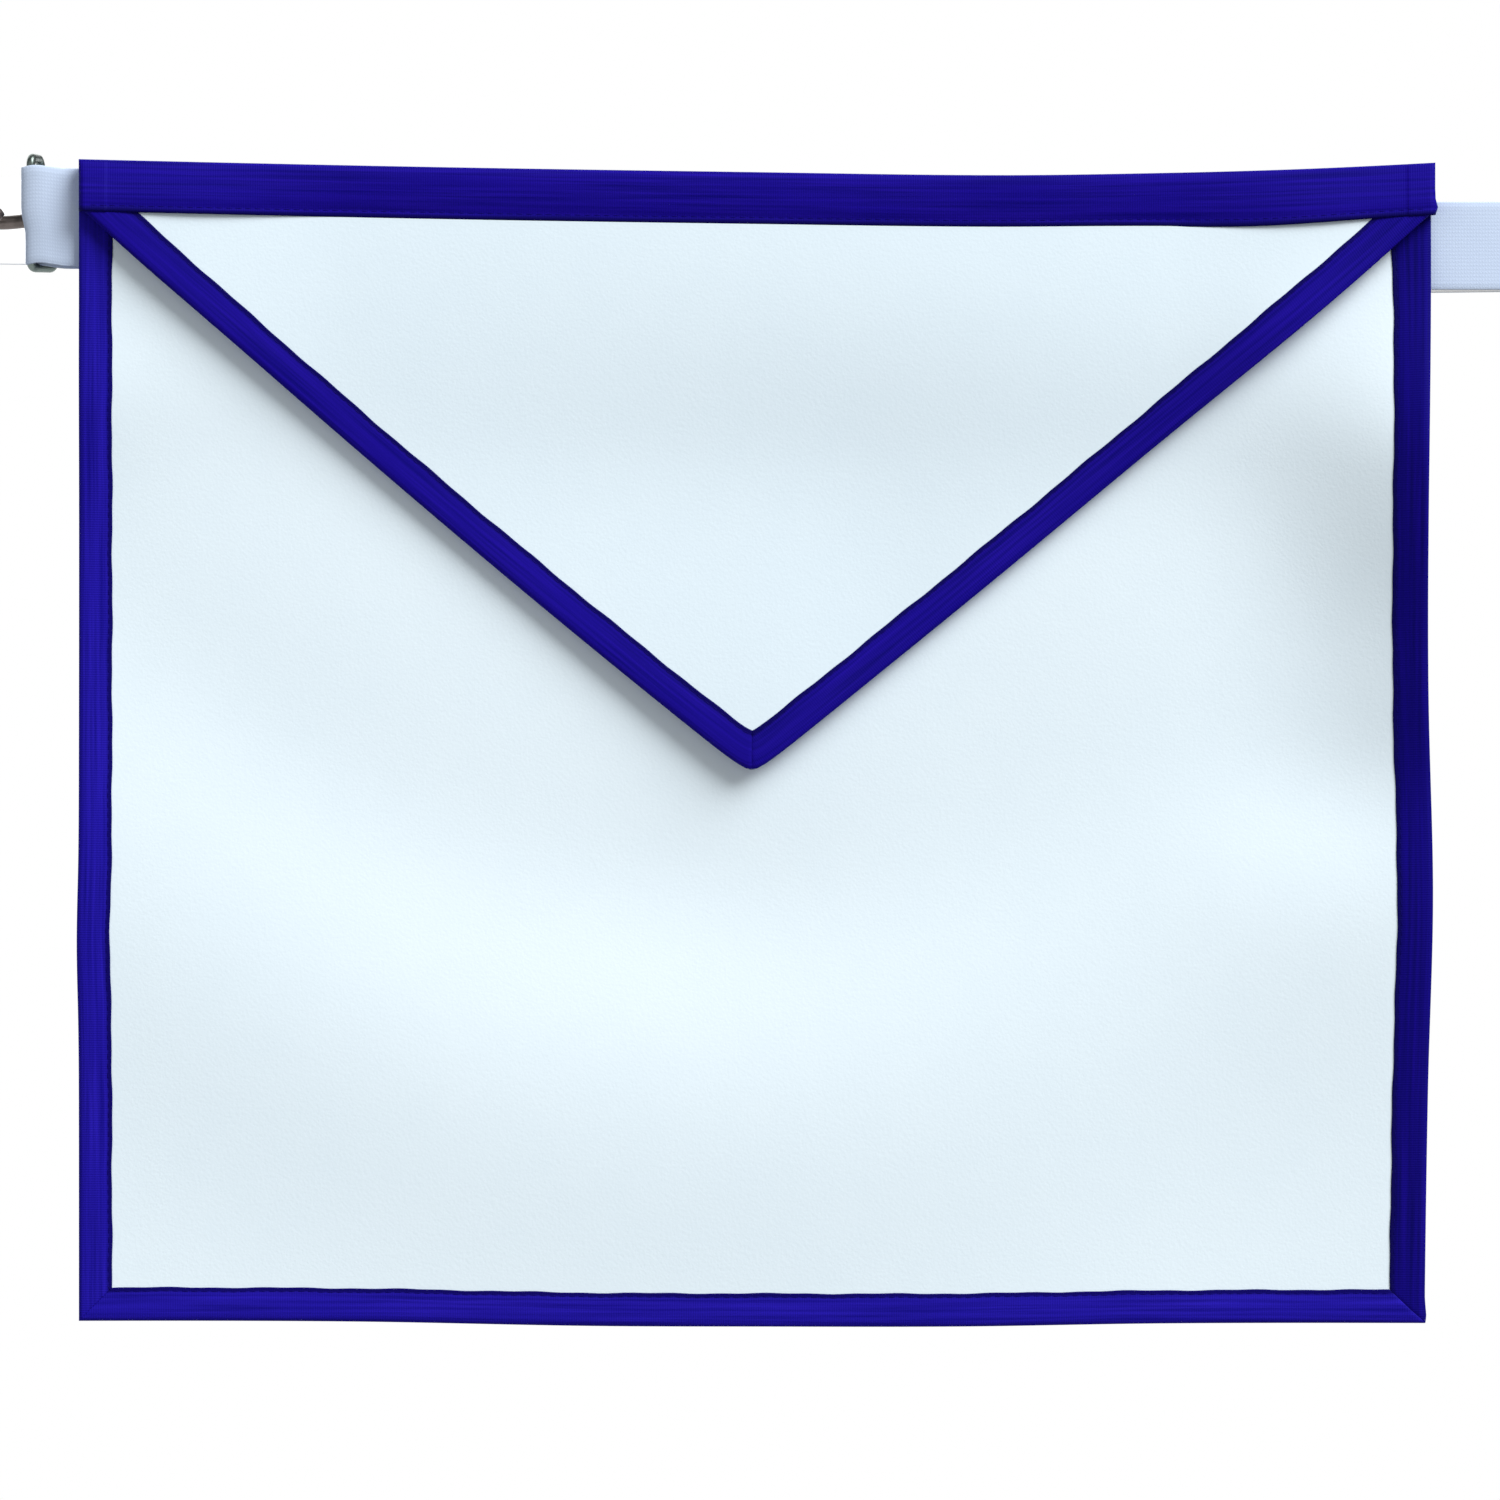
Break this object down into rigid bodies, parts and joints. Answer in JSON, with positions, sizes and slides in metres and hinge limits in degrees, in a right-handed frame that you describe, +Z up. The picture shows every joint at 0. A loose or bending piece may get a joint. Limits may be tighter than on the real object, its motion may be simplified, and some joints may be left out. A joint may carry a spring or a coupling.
{
  "type": "masonic apron",
  "caption": "White leather apron with a triangular flap, edged in blue ribbon, on a webbing belt closed by a hook.",
  "frame": {"origin": "middle of the waistband's back face, where the apron lies against the wearer's waist", "axes": "+Z up, +X to the viewer's right of the apron's front, +Y from the apron back to the wearer"},
  "size_m": [0.6144, 0.2063, 0.3504],
  "materials": {
    "leather": "smooth, matt",
    "ribbon": "ribbed, slight sheen",
    "webbing": "woven, matt",
    "link": "plated, dull",
    "hook": "dark, dull"
  },
  "bodies": {
    "root": {"panel": "leather", "edge_binding": "ribbon", "flap": "leather", "flap_binding": "ribbon", "waistband": "ribbon", "belt_tab": "webbing", "belt_strap": "webbing", "tab_link": "link", "belt_hook": "hook", "keeper_link": "link"}
  },
  "joints": []
}
